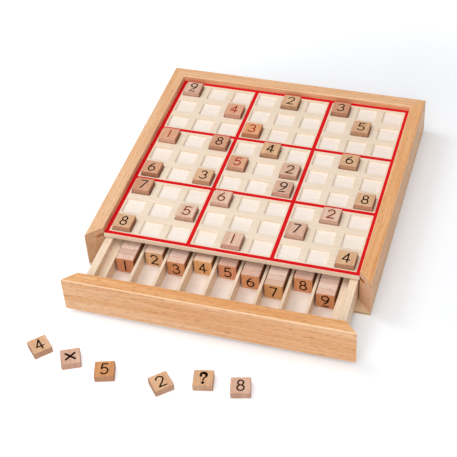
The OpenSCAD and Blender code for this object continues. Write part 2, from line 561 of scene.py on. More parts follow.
@dataclass(frozen=True)
class BoardFinish:
    """The pale playing board, whose milled pocket floors are whiter than its lands."""

    # Where the milled look sets in and ends on the way down, in shares of the pockets' depth
    SETS_IN = (0.5, 0.9)
    ENDS = (1.3, 1.1)

    light: str = "F4E3CF"
    dark: str = "E7D1B5"
    fleck: str = "DCC2A0"
    milled_light: str = "FBF0E7"
    milled_dark: str = "F2E3D5"
    # Colour of the pale edge band on the rims: sanding wear and a painted highlight
    wear_and_highlight: str = "FFF6EA"
    wear: float = 0.35
    contrast: float = 0.75
    flecks: float = 0.25
    edge_width: float = 0.4 * MM
    sheen: Sheen = Sheen(Ramp(0.2, 0.8, 0.46, 0.62), 0.04 * MM)

    def material(self, effects: Effects, top: float, depth: float) -> bpy.types.Material:
        """Builds the finish.

        Args:
            effects: The shared effects.
            top: The height of the board's top, in metres.
            depth: The depth of its pockets, in metres.

        Returns:
            The material.
        """
        surface = Surface("pale_board")
        place = surface.coordinates["Object"]
        height = surface.height()
        low, above = (surface.climb(height, Ramp(*(top - share * depth for share in shares)))
                      for shares in (self.SETS_IN, self.ENDS))
        milled = surface.math("MULTIPLY", surface.math("MULTIPLY", low, above), surface.along(Grain.Z))
        wood = surface.effect(effects.timber, {
            "Vector": place,
            "Light": surface.blend(milled, colour(self.light), colour(self.milled_light)),
            "Dark": surface.blend(milled, colour(self.dark), colour(self.milled_dark)),
            "Fleck": colour(self.fleck), "Contrast": self.contrast, "Flecks": self.flecks})
        edge = surface.effect(effects.edge, {"Vector": place, "Width": self.edge_width})["Edge"]
        base = surface.blend(surface.math("MULTIPLY", edge, self.wear), wood["Color"], colour(self.wear_and_highlight))
        return surface.finish(base, wood["Matt"], wood["Height"], self.sheen)


@dataclass(frozen=True)
class TileFinish:
    """Satin tile wood, whose shade and grain come with each tile.

    The colours light, dark and fleck tint that shade, and the side colour darkens the sides along X as
    painted shade.
    """

    light: str = "FDFAF6"
    dark: str = "D2BCA8"
    fleck: str = "BE9C80"
    # Tint that darkens the tiles' sides along X: painted shade
    side_shade: str = "BC9F88"
    # Colour of the pale edge band on the tiles: sanding wear and a painted highlight
    wear_and_highlight: str = "F8DCC4"
    wear: float = 0.3
    contrast: float = 0.8
    flecks: float = 0.55
    edge_width: float = 0.35 * MM
    sheen: Sheen = Sheen(Ramp(0.2, 0.8, 0.40, 0.58), 0.05 * MM)

    def material(self, effects: Effects) -> bpy.types.Material:
        """Builds the finish.

        Args:
            effects: The shared effects.

        Returns:
            The material.
        """
        surface = Surface("tile_wood")
        place = surface.add("ShaderNodeVectorMath", {
            0: surface.attribute("timber")["Vector"], 1: surface.attribute("tile_shift")["Vector"]})
        shade = surface.attribute("tile_colour")["Color"]
        light, dark, fleck = (surface.blend(1.0, shade, colour(tint), "MULTIPLY")
                              for tint in (self.light, self.dark, self.fleck))
        wood = surface.effect(effects.timber, {
            "Vector": surface.turned(place, Grain.Y), "Light": light, "Dark": dark, "Fleck": fleck,
            "End": surface.attribute("tile_end")["Color"], "Contrast": self.contrast,
            "Flecks": self.flecks, "End grain": surface.attribute("end_grain")["Fac"]})
        edge = surface.effect(effects.edge, {"Vector": place, "Width": self.edge_width})["Edge"]
        # Painted shade: the sides along X are darkened by the side tint
        sides = surface.attribute("sawn_side")["Fac"]
        side_shade = surface.blend(sides, wood["Color"], colour(self.side_shade), "MULTIPLY")
        base = surface.blend(surface.math("MULTIPLY", edge, self.wear), side_shade, colour(self.wear_and_highlight))
        return surface.finish(base, wood["Matt"], wood["Height"], self.sheen)


@dataclass(frozen=True)
class FilmFinish:
    """Printed colour: the board's lines and the tiles' marks."""

    name: str
    full: str
    thin: str
    wear: float
    gloss: float
    sheen: Sheen = Sheen(Ramp(0.3, 0.7, 0.44, 0.62), 0.03 * MM)

    def material(self, effects: Effects) -> bpy.types.Material:
        """Builds the finish.

        Args:
            effects: The shared effects.

        Returns:
            The material.
        """
        surface = Surface(self.name)
        film = surface.effect(effects.film, {
            "Vector": surface.coordinates["Object"], "Full": colour(self.full), "Thin": colour(self.thin),
            "Wear": self.wear})
        surface.shader.inputs["Specular IOR Level"].default_value = self.gloss
        return surface.finish(film["Color"], film["Matt"], film["Height"], self.sheen)


@dataclass(frozen=True)
class SteelFinish:
    """Bright drawn steel with faint streaks."""

    dark: str = "B9B9B7"
    light: str = "D4D4D2"
    streaks: Pattern = Pattern((6.0, 6.0, 0.6), 3.0)
    rough: Ramp = Ramp(0.3, 0.7, 0.24, 0.40)

    def material(self) -> bpy.types.Material:
        """Builds the finish.

        Returns:
            The material.
        """
        surface = Surface("bright_steel")
        streaks = surface.noise(surface.millimetres(surface.coordinates["Object"]), self.streaks)
        inputs = surface.shader.inputs
        surface.feed(inputs["Base Color"], surface.blend(streaks, colour(self.dark), colour(self.light)))
        surface.feed(inputs["Roughness"], surface.climb(streaks, self.rough))
        inputs["Metallic"].default_value = 1.0
        return surface.material


BEECH = TimberFinish("lacquered_beech", light="F3CAA2", dark="DE9E67", fleck="A86438", wear_and_highlight="FFE4C0",
                     end="A48E80", contrast=1.0, flecks=0.45, edge_width=1.0 * MM,
                     sheen=Sheen(Ramp(0.2, 0.8, 0.40, 0.55), 0.05 * MM, 0.6), lacquer=0.05, gloss=0.18)
# Differs from BEECH by a paler end grain, painted light on the right rail's mitre and the drawer front's
# ends, and by a top tint, painted shade on the tops
GOLDEN_BEECH = replace(BEECH, name="golden_beech", top="FDF0DA", end="D6C3B8")
# The drawer front takes more of the pale edge band: sanding wear and a stronger painted highlight on its
# eased top edge
FRONT_BEECH = replace(GOLDEN_BEECH, name="front_beech", flecks=0.6, wear=0.75)
DRAWER_BEECH = TimberFinish("raw_beech", light="FAE8D2", dark="EBCAA6", fleck="D2A57C", wear_and_highlight="FDEFDD",
                            end="E2C3A4", contrast=0.85, flecks=0.4, edge_width=0.5 * MM,
                            sheen=Sheen(Ramp(0.2, 0.8, 0.46, 0.62), 0.05 * MM, 0.6), lacquer=0.0)
BASE_PLY = PlyFinish("base_ply", light="EBD2B2", dark="D6B58D", core="B98F66", fleck="BF9A72")
FLOOR_PLY = PlyFinish("floor_ply", light="FDF5EE", dark="F5E6D9", core="CFAE8A", fleck="E2C7AA")
RED_LINES = FilmFinish("red_lines", full="DC1018", thin="EA3C36", wear=0.3, gloss=0.06)
INKS = {ink: FilmFinish(f"ink_{ink.name.lower()}", full=ink.value, thin=TileTone.RUSSET.value, wear=0.05,
                        gloss=0.03, sheen=Sheen(Ramp(0.3, 0.7, 0.6, 0.8), 0.03 * MM)) for ink in Ink}


def dress(node: bpy.types.Object, material: bpy.types.Material) -> None:
    """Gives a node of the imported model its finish.

    Args:
        node: The node's object.
        material: The finish.
    """
    node.data.materials.clear()
    node.data.materials.append(material)
    LOG.info("%s: %s", node.name, material.name)


@dataclass(frozen=True)
class Line:
    """A straight stroke between two points, in shares of a mark's height."""

    x0: float
    y0: float
    x1: float
    y1: float
    weight: float = 1.0

    def points(self) -> list[tuple[float, float, float]]:
        """Returns the stroke's points, each with its weight."""
        return [(self.x0, self.y0, self.weight), (self.x1, self.y1, self.weight)]


@dataclass(frozen=True)
class Arc:
    """Part of an ellipse, in shares of a mark's height, from one angle in degrees to another.

    The stroke is heavier towards the arc's middle by the swell.
    """

    STEP = 15.0

    x: float
    y: float
    rx: float
    ry: float
    start: float
    end: float
    swell: float = 0.0
    weight: float = 1.0

    def points(self) -> list[tuple[float, float, float]]:
        """Places the stroke's points.

        Returns:
            The points, each with its weight.
        """
        count = max(2, round(abs(self.end - self.start) / self.STEP))
        found = []
        for i in range(count + 1):
            share = i / count
            angle = math.radians(self.start + (self.end - self.start) * share)
            heavy = self.weight + self.swell * math.sin(math.pi * share)
            found.append((self.x + self.rx * math.cos(angle), self.y + self.ry * math.sin(angle), heavy))
        return found


Stroke = tuple[Line | Arc, ...]

BOWL = Arc(0.0, 0.29, 0.28, 0.29, 0, 360)
STEM = Arc(0.40, 0.29, 0.68, 0.74, 116, 180)
MARKS: dict[Glyph, tuple[Stroke, ...]] = {
    Glyph.ONE: ((Line(0, 1, 0, 0),),),
    Glyph.TWO: ((Arc(0, 0.72, 0.28, 0.28, 172, -38), Line(0.2, 0.52, -0.29, 0)),
                (Line(-0.29, 0, 0.31, 0),)),
    Glyph.THREE: ((Arc(-0.02, 0.75, 0.25, 0.25, 155, -75),), (Arc(-0.02, 0.26, 0.30, 0.26, 80, -155),)),
    Glyph.FOUR: ((Line(0.1, 1, -0.31, 0.28),), (Line(-0.31, 0.28, 0.30, 0.28),), (Line(0.1, 1, 0.1, 0),)),
    Glyph.FIVE: ((Line(0.25, 1, -0.17, 1),), (Line(-0.17, 1, -0.23, 0.53),),
                 (Arc(-0.01, 0.32, 0.30, 0.32, 138, -148),)),
    Glyph.SIX: ((STEM,), (BOWL,)),
    Glyph.SEVEN: ((Line(-0.28, 1, 0.28, 1),), (Line(0.28, 1, -0.1, 0),)),
    Glyph.EIGHT: ((Arc(0, 0.76, 0.215, 0.24, 0, 360),), (Arc(0, 0.26, 0.27, 0.26, 0, 360),)),
    Glyph.NINE: ((Arc(-STEM.x, 1 - STEM.y, STEM.rx, STEM.ry, STEM.start + 180, STEM.end + 180),),
                 (Arc(BOWL.x, 1 - BOWL.y, BOWL.rx, BOWL.ry, 0, 360),), (Line(-0.26, -0.2, 0.26, -0.2),)),
    Glyph.CROSS: ((Line(-0.36, 0.2, 0.36, 0.8, 1.5),), (Line(-0.36, 0.8, 0.36, 0.2, 1.5),)),
    Glyph.QUERY: ((Arc(0, 0.75, 0.24, 0.24, 190, -50, 1.1, 1.0), Line(0.04, 0.46, 0, 0.25, 1.0)),
                  (Line(-0.2, 0.69, -0.2, 0.73, 1.7),), (Line(0, 0.0, 0, 0.04, 1.9),)),
}


class Tree(Graph):
    """A geometry node tree with named inputs, run on one object at a time and turned into a plain mesh."""

    KINDS = {"int": "NodeSocketInt", "float": "NodeSocketFloat", "colour": "NodeSocketColor",
             "material": "NodeSocketMaterial", "object": "NodeSocketObject"}

    def __init__(self, name: str, inputs: dict[str, str]) -> None:
        """Makes the tree with its sockets.

        Args:
            name: The tree's name.
            inputs: The inputs' kinds by name.
        """
        super().__init__(bpy.data.node_groups.new(name, "GeometryNodeTree"))
        sockets = self.tree.interface
        sockets.new_socket("Geometry", in_out="INPUT", socket_type="NodeSocketGeometry")
        self.keys = {}
        for label, kind in inputs.items():
            socket = sockets.new_socket(label, in_out="INPUT", socket_type=self.KINDS[kind])
            self.keys[label] = socket.identifier
        sockets.new_socket("Geometry", in_out="OUTPUT", socket_type="NodeSocketGeometry")
        self.source = self.add("NodeGroupInput").outputs
        self.sink = self.add("NodeGroupOutput").inputs

    def keep(self, geometry: object, name: str, value: object, kind: str, domain: str) -> bpy.types.Node:
        """Stores a value as a named attribute of the geometry."""
        inputs = {"Geometry": geometry, "Name": name, "Value": value}
        return self.add("GeometryNodeStoreNamedAttribute", inputs, data_type=kind, domain=domain)

    def close(self, geometry: object) -> None:
        """Ends the tree with real meshes and their material.

        Args:
            geometry: What the tree has made.
        """
        real = self.add("GeometryNodeRealizeInstances", {"Geometry": geometry})
        inputs = {"Geometry": real, "Material": self.source["Material"]}
        self.feed(self.sink[0], self.add("GeometryNodeSetMaterial", inputs))

    def run(self, mesh: bpy.types.Mesh, name: str, **inputs: object) -> bpy.types.Object:
        """Runs the tree on a mesh.

        Args:
            mesh: The geometry that goes in.
            name: The new object's name.
            **inputs: The tree's inputs by name, with _ for a space.

        Returns:
            An object at the origin with the result as its plain mesh.
        """
        piece = put(name, mesh)
        modifier = piece.modifiers.new("shape", "NODES")
        modifier.node_group = self.tree
        for label, value in inputs.items():
            modifier[self.keys[label.replace("_", " ")]] = value
        graph = bpy.context.evaluated_depsgraph_get()
        result = bpy.data.meshes.new_from_object(piece.evaluated_get(graph), depsgraph=graph)
        piece.modifiers.clear()
        piece.data = result
        result.name = name
        return piece


class MarkTree(Tree):
    """Turns a mark's centre lines into a film with round ends, all one height."""

    END_SIDES = 20

    def __init__(self) -> None:
        """Builds the tree."""
        super().__init__("mark_film", {"Pen": "float", "Film": "float", "Material": "material"})
        pen, film = self.source["Pen"], self.source["Film"]
        weight = self.add("GeometryNodeInputNamedAttribute", {"Name": "weight"}, data_type="FLOAT")
        lines = self.add("GeometryNodeMeshToCurve", {"Mesh": self.source["Geometry"]})
        lines = self.add("GeometryNodeSetCurveNormal", {"Curve": lines}, mode="Z_UP")
        nib = self.add("GeometryNodeCurvePrimitiveQuadrilateral", {"Width": pen, "Height": film},
                       mode="RECTANGLE")
        ribbon = self.add("GeometryNodeCurveToMesh", {
            "Curve": lines, "Profile Curve": nib, "Scale": weight, "Fill Caps": True})
        end = self.add("GeometryNodeMeshCylinder", {
            "Vertices": self.END_SIDES, "Radius": self.math("MULTIPLY", pen, 0.5), "Depth": film})
        ends = self.add("GeometryNodeInstanceOnPoints", {
            "Points": lines, "Selection": self.add("GeometryNodeCurveEndpointSelection"), "Instance": end,
            "Scale": weight})
        ends = self.add("GeometryNodeRealizeInstances", {"Geometry": ends})
        union = self.add("GeometryNodeMeshBoolean", {"Mesh 2": ribbon}, operation="UNION", solver="EXACT")
        self.feed(union.inputs["Mesh 2"], ends)
        union.inputs["Self Intersection"].default_value = True
        place = self.add("ShaderNodeSeparateXYZ", {0: self.add("GeometryNodeInputPosition")}).outputs
        level = self.math("MULTIPLY", self.math("GREATER_THAN", place["Z"], 0.0), film)
        flat = self.add("ShaderNodeCombineXYZ", {"X": place["X"], "Y": place["Y"], "Z": level})
        self.close(self.add("GeometryNodeSetPosition", {"Geometry": union, "Position": flat}))


class RowTree(Tree):
    """Repeats a tile, or its mark, in a row, each one with its own shade and stretch of wood."""

    SHIFT = 0.4

    def __init__(self) -> None:
        """Builds the tree."""
        super().__init__("tile_row", {"Count": "int", "Step": "float", "Seed": "int", "Front": "colour",
                                      "First shade": "colour", "Second shade": "colour",
                                      "First end": "colour", "Second end": "colour",
                                      "Material": "material"})
        facing = self.add("ShaderNodeSeparateXYZ", {0: self.add("GeometryNodeInputNormal")}).outputs
        # The mask of the sides along X, kept below, carries painted shade on them
        ends, sides = (self.math("ABSOLUTE", facing[axis]) for axis in ("Y", "X"))
        tile = self.keep(self.source["Geometry"], "end_grain", ends, "FLOAT", "FACE")
        tile = self.keep(tile, "sawn_side", sides, "FLOAT", "FACE")
        position = self.add("GeometryNodeInputPosition")
        tile = self.keep(tile, "timber", position, "FLOAT_VECTOR", "POINT")
        offset = self.add("ShaderNodeCombineXYZ", {"Z": self.math("MULTIPLY", self.source["Step"], -1.0)})
        spots = self.add("GeometryNodeMeshLine", {"Count": self.source["Count"], "Offset": offset})
        row = self.add("GeometryNodeInstanceOnPoints", {"Points": spots, "Instance": tile})
        seed = self.source["Seed"]
        shift = self.add("FunctionNodeRandomValue", {
            0: (-self.SHIFT,) * 3, 1: (self.SHIFT,) * 3, "Seed": seed}, data_type="FLOAT_VECTOR").outputs[0]
        row = self.keep(row, "tile_shift", shift, "FLOAT_VECTOR", "INSTANCE")
        share, end_share = (self.add("FunctionNodeRandomValue", {
            "Seed": self.math("ADD", seed, later)}, data_type="FLOAT").outputs[1] for later in (1.0, 2.0))
        ends = self.blend(end_share, self.source["First end"], self.source["Second end"])
        row = self.keep(row, "tile_end", ends, "FLOAT_COLOR", "INSTANCE")
        mixed = self.blend(share, self.source["First shade"], self.source["Second shade"])
        behind = self.math("MINIMUM", self.add("GeometryNodeInputIndex"), 1.0)
        shade = self.blend(behind, self.source["Front"], mixed)
        self.close(self.keep(row, "tile_colour", shade, "FLOAT_COLOR", "INSTANCE"))


class PocketTree(Tree):
    """Lays a cell with its pocket in a square grid inside the board's border, and welds them together."""

    WELD = 0.002 * MM

    def __init__(self) -> None:
        """Builds the tree."""
        super().__init__("pocket_grid", {"Cell": "object", "Pitch": "float", "Count": "int",
                                         "Material": "material"})
        count = self.source["Count"]
        side = self.math("MULTIPLY", self.source["Pitch"], self.math("SUBTRACT", count, 1.0))
        spots = self.add("GeometryNodeMeshGrid", {
            "Size X": side, "Size Y": side, "Vertices X": count, "Vertices Y": count})
        cell = self.add("GeometryNodeObjectInfo", {"Object": self.source["Cell"]}).outputs["Geometry"]
        cells = self.add("GeometryNodeInstanceOnPoints", {"Points": spots, "Instance": cell})
        cells = self.add("GeometryNodeRealizeInstances", {"Geometry": cells})
        board = self.add("GeometryNodeJoinGeometry", {"Geometry": cells})
        self.feed(board.inputs[0], self.source["Geometry"])
        self.close(self.add("GeometryNodeMergeByDistance", {"Geometry": board, "Distance": self.WELD}))


CORNER_POINTS = 5
EASE_STEPS = 3
# Whether each band of a wall between two eased edges is shaded smooth
EASED_WALL = [True] * EASE_STEPS + [False] + [True] * EASE_STEPS


def rounded_ring(side: float, radius: float, z: float) -> Ring:
    """Places points round a square with round corners, corner by corner, starting at the front left.

    Args:
        side: Its size along X and Y.
        radius: The radius of its corners.
        z: Its height.

    Returns:
        The points, CORNER_POINTS of them at each corner, anticlockwise from above.
    """
    found = []
    reach = side / 2 - radius
    for corner in range(4):
        sx = -1 if corner in (0, 3) else 1
        sy = -1 if corner in (0, 1) else 1
        for i in range(CORNER_POINTS):
            angle = math.radians(180 + 90 * corner + 90 * i / (CORNER_POINTS - 1))
            found.append(Vector((sx * reach + radius * math.cos(angle),
                                 sy * reach + radius * math.sin(angle), z)))
    return found


def ease_steps(size: float) -> list[tuple[float, float]]:
    """Works out a quarter round edge.

    Args:
        size: Its radius.

    Returns:
        For each step, how far it lies in from the side and down from the top, from the top on.
    """
    angles = [math.pi / 2 * i / EASE_STEPS for i in range(EASE_STEPS + 1)]
    return [(size * (1 - math.sin(a)), size * (1 - math.cos(a))) for a in angles]


def skin(shape: bmesh.types.BMesh, rings: list[Ring]) -> list[list[bmesh.types.BMVert]]:
    """Spans a wall with two eased edges between rings of as many points.

    Args:
        shape: The mesh to add to.
        rings: The rings in order.

    Returns:
        The rings' vertices.
    """
    levels = [[shape.verts.new(p) for p in ring] for ring in rings]
    for lower, upper, soft in zip(levels, levels[1:], EASED_WALL):
        count = len(lower)
        for i in range(count):
            j = (i + 1) % count
            face = shape.faces.new((lower[i], lower[j], upper[j], upper[i]))
            face.smooth = soft
    return levels


def turn_outwards(shape: bmesh.types.BMesh) -> None:
    """Turns the faces of a closed shape outwards."""
    bmesh.ops.recalc_face_normals(shape, faces=shape.faces)


def finish_mesh(shape: bmesh.types.BMesh, name: str) -> bpy.types.Mesh:
    """Writes a shape out as a mesh.

    Args:
        shape: The shape, which is freed.
        name: The mesh's name.

    Returns:
        The mesh.
    """
    mesh = bpy.data.meshes.new(name)
    shape.to_mesh(mesh)
    shape.free()
    return mesh


def flat_face(shape: bmesh.types.BMesh, corners: list[bmesh.types.BMVert]) -> None:
    """Adds one flat face that looks up.

    Args:
        shape: The mesh to add to.
        corners: The face's corners in order.
    """
    face = shape.faces.new(corners)
    face.normal_update()
    if face.normal.z < 0:
        face.normal_flip()


@dataclass
class TileKit:
    """Makes tiles and their marks, all from one block and one pen; a nine leaves room for its underline."""

    # Points of a mark that are nearer than this share of its height are one
    JOIN = 0.02

    effects: Effects
    width: float
    thickness: float
    corner: float = 0.6 * MM
    ease: float = 0.45 * MM
    pen: float = 1.22 * MM
    film: float = 0.03 * MM
    mark_height: float = 9.8 * MM
    nine_lift: float = 1.0 * MM
    rows: RowTree = field(default_factory=RowTree)
    marks: MarkTree = field(default_factory=MarkTree)
    drawn: dict[Glyph, bpy.types.Mesh] = field(default_factory=dict)
    block: bpy.types.Mesh = field(init=False)
    wood: bpy.types.Material = field(init=False)
    inks: dict[Ink, bpy.types.Material] = field(init=False)

    def __post_init__(self) -> None:
        """Makes what the tiles share."""
        self.block = self.make_block()
        self.wood = TileFinish().material(self.effects)
        self.inks = {ink: finish.material(self.effects) for ink, finish in INKS.items()}

    def make_block(self) -> bpy.types.Mesh:
        """Builds one tile with eased edges, standing on the origin.

        Returns:
            The mesh.
        """
        steps = ease_steps(self.ease)
        levels = steps + [(inset, self.thickness - drop) for inset, drop in reversed(steps)]
        shape = bmesh.new()
        loops = skin(shape, [rounded_ring(self.width - 2 * inset, self.corner - 0.5 * inset, z)
                             for inset, z in levels])
        shape.faces.new(loops[0])
        shape.faces.new(loops[-1])
        turn_outwards(shape)
        return finish_mesh(shape, "tile_block")

    def draw(self, glyph: Glyph) -> bpy.types.Mesh:
        """Draws a mark, in millimetres so that its union stays exact, and scales it down.

        Args:
            glyph: What to draw.

        Returns:
            The mesh, flat on the origin and centred on it.
        """
        if glyph in self.drawn:
            return self.drawn[glyph]
        size = self.mark_height / MM
        near = self.JOIN * size
        points, edges, weights = [], [], []
        for stroke in MARKS[glyph]:
            start = len(points)
            for x, y, weight in (point for part in stroke for point in part.points()):
                spot = Vector((x * size, (y - 0.5) * size, 0.0))
                if len(points) > start and (points[-1] - spot).length < near:
                    continue
                points.append(spot)
                weights.append(weight)
            closed = len(points) - start > 2 and (points[-1] - points[start]).length < near
            if closed:
                points.pop()
                weights.pop()
            edges += [(i, i + 1) for i in range(start, len(points) - 1)]
            if closed:
                edges.append((len(points) - 1, start))
        lines = bpy.data.meshes.new("mark_lines")
        lines.from_pydata(points, edges, [])
        lines.attributes.new("weight", "FLOAT", "POINT").data.foreach_set("value", weights)
        piece = self.marks.run(lines, f"mark_{glyph.value}", Pen=self.pen / MM, Film=self.film / MM)
        mesh = piece.data
        bpy.data.objects.remove(piece)
        mesh.transform(Matrix.Scale(MM, 4))
        self.drawn[glyph] = mesh
        return mesh

    def lay(self, node: str, place: Matrix, glyph: Glyph, ink: Ink, shades: tuple[TileTone, ...],
            ends: tuple[EndTone, EndTone], seed: int, count: int = 1, step: float = 0.0) -> None:
        """Builds the tile or row of tiles that stands for a node, with their marks.

        Args:
            node: The node, and its body's name.
            place: Takes the first tile from its own frame to its place.
            glyph: The mark.
            ink: The mark's colour.
            shades: The first tile's shade, then the two that the rest lie between.
            ends: The two shades that the end grain lies between.
            seed: Picks the wood and the shades.
            count: How many tiles the row has.
            step: From tile to tile, in metres.
        """
        front, first, second, first_end, second_end = (colour(tone.value) for tone in (*shades, *ends))
        row = {"Count": count, "Step": step, "Seed": seed, "Front": front, "First_shade": first,
               "Second_shade": second, "First_end": first_end, "Second_end": second_end}
        wood = self.rows.run(self.block, f"{node}.wood", Material=self.wood, **row)
        mark = self.draw(glyph).copy()
        lift = self.nine_lift if glyph is Glyph.NINE else 0.0
        mark.transform(Matrix.Translation((0, lift, self.thickness)))
        marks = self.rows.run(mark, f"{node}.mark", Material=self.inks[ink], **row)
        for piece in (wood, marks):
            piece.data.transform(place)
            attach(piece, node)
        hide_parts(node)
        LOG.info("%s: %d tile(s) marked %s in %s", node, count, glyph.value, ink.name.lower())


@dataclass(frozen=True)
class CellTile:
    """A tile in a pocket: its row from the back, its column from the left, its mark and its shade."""

    row: int
    column: int
    glyph: Glyph
    ink: Ink
    tone: TileTone


@dataclass(frozen=True)
class LooseTile:
    """A tile on the table: the end of its node's name, its mark, its turn in degrees and its shade."""

    name: str
    glyph: Glyph
    turn: float
    tone: TileTone


CELL_TILES = (
    CellTile(1, 1, Glyph.NINE, Ink.BLACK, TileTone.BLUSH),
    CellTile(1, 5, Glyph.TWO, Ink.SEPIA, TileTone.TAN),
    CellTile(1, 7, Glyph.THREE, Ink.BLACK, TileTone.RUSSET),
    CellTile(2, 3, Glyph.FOUR, Ink.RED, TileTone.ROSE),
    CellTile(2, 8, Glyph.FIVE, Ink.SEPIA, TileTone.TAN),
    CellTile(3, 4, Glyph.THREE, Ink.RED, TileTone.COPPER),
    CellTile(4, 1, Glyph.ONE, Ink.RED, TileTone.ROSE),
    CellTile(4, 3, Glyph.EIGHT, Ink.BLACK, TileTone.RUSSET),
    CellTile(4, 5, Glyph.FOUR, Ink.BLACK, TileTone.TAN),
    CellTile(4, 8, Glyph.SIX, Ink.BLACK, TileTone.TAN),
    CellTile(5, 4, Glyph.FIVE, Ink.RED, TileTone.ROSE),
    CellTile(5, 6, Glyph.TWO, Ink.SEPIA, TileTone.BLUSH),
    CellTile(6, 1, Glyph.SIX, Ink.BLACK, TileTone.RUSSET),
    CellTile(6, 3, Glyph.THREE, Ink.BLACK, TileTone.TAN),
    CellTile(6, 6, Glyph.NINE, Ink.BLACK, TileTone.BLUSH),
    CellTile(6, 9, Glyph.EIGHT, Ink.BLACK, TileTone.TAN),
    CellTile(7, 1, Glyph.SEVEN, Ink.BLACK, TileTone.RUSSET),
    CellTile(7, 4, Glyph.SIX, Ink.RUST, TileTone.PALE),
    CellTile(7, 8, Glyph.TWO, Ink.RUST, TileTone.PALE),
    CellTile(8, 3, Glyph.FIVE, Ink.RUST, TileTone.PALE),
    CellTile(8, 7, Glyph.SEVEN, Ink.BLACK, TileTone.BLUSH),
    CellTile(9, 1, Glyph.EIGHT, Ink.BLACK, TileTone.TAN),
    CellTile(9, 5, Glyph.ONE, Ink.RUST, TileTone.PALE),
    CellTile(9, 9, Glyph.FOUR, Ink.BLACK, TileTone.TAN),
)
LOOSE_TILES = (
    LooseTile("four", Glyph.FOUR, 46.0, TileTone.TAN),
    LooseTile("cross", Glyph.CROSS, 25.0, TileTone.BLUSH),
    LooseTile("five", Glyph.FIVE, 17.0, TileTone.GINGER),
    LooseTile("two", Glyph.TWO, 42.0, TileTone.TAN),
    LooseTile("query", Glyph.QUERY, 12.0, TileTone.TAN),
    LooseTile("eight", Glyph.EIGHT, 14.5, TileTone.BLUSH),
)
STACKS = (
    (Glyph.ONE, TileTone.CHESTNUT), (Glyph.TWO, TileTone.HONEY), (Glyph.THREE, TileTone.COPPER),
    (Glyph.FOUR, TileTone.AMBER), (Glyph.FIVE, TileTone.CHESTNUT), (Glyph.SIX, TileTone.COPPER),
    (Glyph.SEVEN, TileTone.AMBER), (Glyph.EIGHT, TileTone.COPPER), (Glyph.NINE, TileTone.COPPER),
)


@dataclass
class TileSet:
    """All the tiles: in the pockets, in the drawer and on the table."""

    # End grain shades: the drawer's set is a paler copy, painted light on end faces that look up; the dark
    # and pink sets are darker copies, painted shade on end faces that look sideways
    SHADED_ENDS = (EndTone.CLAY, EndTone.UMBER)
    SHADED_PINK_ENDS = (EndTone.PETAL, EndTone.CLAY)
    LIT_ENDS = (EndTone.SHELL, EndTone.MAUVE)
    PINK_TONES = (TileTone.PALE, TileTone.BLUSH, TileTone.ROSE)

    kit: TileKit
    stack_gap: float = 0.1 * MM

    def stand(self, node: str) -> Matrix:
        """Works out where a tile stands.

        Args:
            node: The tile's node.

        Returns:
            What takes a tile from the origin to the middle of the node's underside.
        """
        low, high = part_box(node)
        middle = (low + high) / 2
        return Matrix.Translation((middle.x, middle.y, low.z))

    def in_pockets(self) -> None:
        """Builds the tiles on the board, the pink ones with paler ends."""
        for seed, tile in enumerate(CELL_TILES):
            node = f"board_tile_r{tile.row}c{tile.column}"
            ends = self.SHADED_PINK_ENDS if tile.tone in self.PINK_TONES else self.SHADED_ENDS
            self.kit.lay(node, self.stand(node), tile.glyph, tile.ink, (tile.tone,) * 3, ends, seed)

    def on_table(self) -> None:
        """Builds the loose tiles."""
        for seed, tile in enumerate(LOOSE_TILES, start=len(CELL_TILES)):
            node = f"loose_tile_{tile.name}"
            place = self.stand(node) @ Matrix.Rotation(math.radians(tile.turn), 4, "Z")
            self.kit.lay(node, place, tile.glyph, Ink.BLACK, (tile.tone,) * 3, self.SHADED_ENDS, seed)

    def in_drawer(self) -> None:
        """Builds the stacks, each standing on edge with its marked faces to the front."""
        step = self.kit.thickness + self.stack_gap
        first_seed = len(CELL_TILES) + len(LOOSE_TILES)
        upright = Matrix.Rotation(math.pi / 2, 4, "X")
        for number, (glyph, tone) in enumerate(STACKS, start=1):
            node = f"tile_stack_{number}"
            low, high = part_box(node)
            count = round((high.y - low.y + self.stack_gap) / step)
            spot = Vector(((low.x + high.x) / 2, low.y + self.kit.thickness, (low.z + high.z) / 2))
            shades = (tone, TileTone.PALE, TileTone.RUSSET)
            self.kit.lay(node, Matrix.Translation(spot) @ upright, glyph, Ink.BLACK, shades,
                         self.LIT_ENDS, first_seed + number, count, step)


